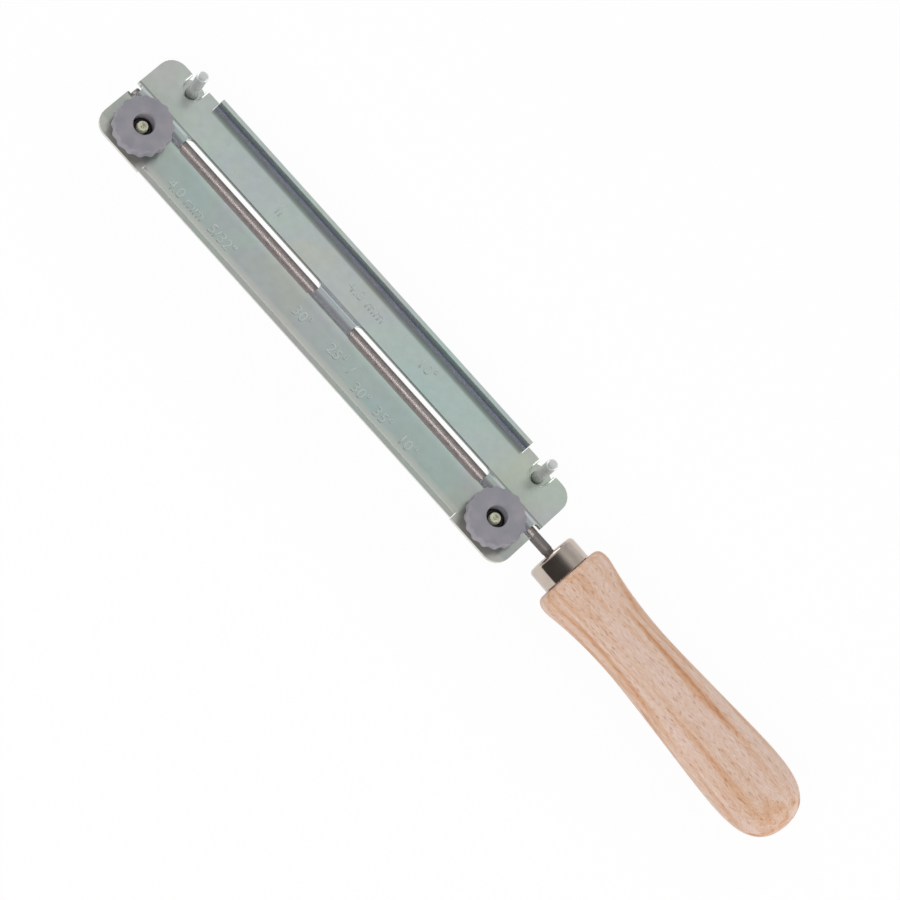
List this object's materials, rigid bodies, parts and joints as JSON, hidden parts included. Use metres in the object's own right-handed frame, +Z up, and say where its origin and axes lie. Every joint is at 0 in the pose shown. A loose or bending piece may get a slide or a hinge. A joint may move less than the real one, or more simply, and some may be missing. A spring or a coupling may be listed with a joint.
{
  "type": "chainsaw file guide",
  "caption": "Round chainsaw file with a turned wooden handle, clamped by knurled knobs under a folded sheet-steel guide plate.",
  "frame": {"origin": "under the middle of the tool's length and on the file's line, on the ground that the handle's belly touches", "axes": "+X along the file from its tip to the handle, +Y across the plate towards the guide pins, +Z up out of the face that the knobs stand on"},
  "size_m": [0.318, 0.039, 0.0292],
  "materials": {
    "zinc_plated_sheet": "zinc-plated sheet steel with a faint blue and green passivated sheen",
    "bright_zinc_steel": "bright zinc-plated steel",
    "yellow_zinc_steel": "yellow passivated zinc-plated steel",
    "file_steel": "hardened file steel, fine cut",
    "nickel_plated_steel": "polished nickel plating",
    "turned_beech": "turned beech, sanded and waxed",
    "grey_plastic": "moulded plastic, fine matt grain"
  },
  "bodies": {
    "guide": {"guide_plate": "zinc_plated_sheet"},
    "file_and_handle": {"round_file": "file_steel", "ferrule": "nickel_plated_steel", "handle": "turned_beech"},
    "tip_end_clamp": {"tip_end_clamp_bar": "zinc_plated_sheet", "tip_end_clamp_screw": "yellow_zinc_steel", "tip_end_guide_pin": "bright_zinc_steel"},
    "tip_end_thumb_nut": {"tip_end_knob": "grey_plastic", "tip_end_knob_nut": "bright_zinc_steel"},
    "handle_end_clamp": {"handle_end_clamp_bar": "zinc_plated_sheet", "handle_end_clamp_screw": "yellow_zinc_steel", "handle_end_guide_pin": "bright_zinc_steel"},
    "handle_end_thumb_nut": {"handle_end_knob": "grey_plastic", "handle_end_knob_nut": "bright_zinc_steel"}
  },
  "joints": [
    {"name": "tip_end_knob_turn", "type": "hinge", "parent": "guide", "child": "tip_end_thumb_nut", "pos_m": [-0.1465, -0.00902, 0.0162], "axis": [0, 0, 1], "range_deg": [0, 900]},
    {"name": "tip_end_clamp_drop", "type": "slide", "parent": "guide", "child": "tip_end_clamp", "axis": [0, 0, -1], "range_m": [0, 0.00175]},
    {"name": "handle_end_knob_turn", "type": "hinge", "parent": "guide", "child": "handle_end_thumb_nut", "pos_m": [0.0225, -0.00902, 0.0162], "axis": [0, 0, 1], "range_deg": [0, 900]},
    {"name": "handle_end_clamp_drop", "type": "slide", "parent": "guide", "child": "handle_end_clamp", "axis": [0, 0, -1], "range_m": [0, 0.00175]},
    {"name": "file_turn", "type": "hinge", "parent": "guide", "child": "file_and_handle", "pos_m": [-0.062, 0, 0.0135], "axis": [1, 0, 0], "continuous": true}
  ],
  "couplings": [
    {"joint": "tip_end_knob_turn", "follows": "tip_end_clamp_drop", "rad_per_m": 8976},
    {"joint": "handle_end_knob_turn", "follows": "handle_end_clamp_drop", "rad_per_m": 8976}
  ]
}
